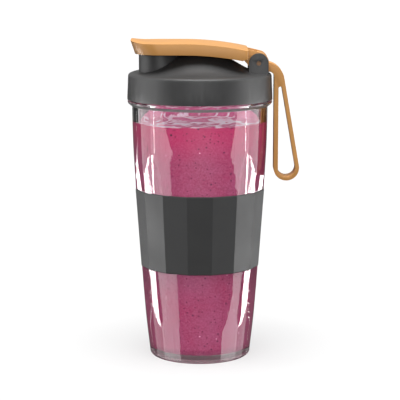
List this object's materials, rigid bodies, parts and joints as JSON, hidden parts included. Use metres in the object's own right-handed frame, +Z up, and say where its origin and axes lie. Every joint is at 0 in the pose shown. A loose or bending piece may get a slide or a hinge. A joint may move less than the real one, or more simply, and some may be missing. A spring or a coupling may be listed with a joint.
{
  "type": "drinking tumbler",
  "caption": "Clear faceted drinking tumbler with a grip sleeve, a screw-on lid, a flip cap over a round spout and a swinging carry loop.",
  "frame": {"origin": "centre of the foot's standing face, on the jar's axis", "axes": "+Z up along the jar's axis, -X towards the drinking spout, +X towards the hinge and the carry loop"},
  "size_m": [0.1083, 0.0914, 0.2017],
  "materials": {
    "clear_plastic": "polished",
    "grey_plastic": "matte",
    "tan_plastic": "satin",
    "silicone": "matte"
  },
  "bodies": {
    "jar": {"jar": "clear_plastic", "grip_sleeve": "grey_plastic"},
    "gasket": {"lid_gasket": "silicone"},
    "lid": {"lid_shell": "grey_plastic", "hinge_pin": "tan_plastic"},
    "flip_cap": {"flip_cap": "tan_plastic", "spout_seal": "silicone"},
    "carry_loop": {"carry_loop": "tan_plastic"}
  },
  "joints": [
    {"name": "lid_lift", "type": "slide", "parent": "jar", "child": "gasket", "axis": [0, 0, 1], "range_m": [0, 0.0241]},
    {"name": "lid_turn", "type": "hinge", "parent": "gasket", "child": "lid", "pos_m": [0, 0, 0.1749], "axis": [0, 0, 1], "range_deg": [0, 720]},
    {"name": "cap_flip", "type": "hinge", "parent": "lid", "child": "flip_cap", "pos_m": [0.0365, 0, 0.1877], "axis": [0, 1, 0], "range_deg": [0, 95]},
    {"name": "loop_swing", "type": "hinge", "parent": "lid", "child": "carry_loop", "pos_m": [0.0365, 0, 0.1877], "axis": [0, -1, 0], "range_deg": [0, 38]}
  ],
  "couplings": [
    {"joint": "lid_lift", "follows": "lid_turn", "m_per_rad": 0.0019099}
  ]
}
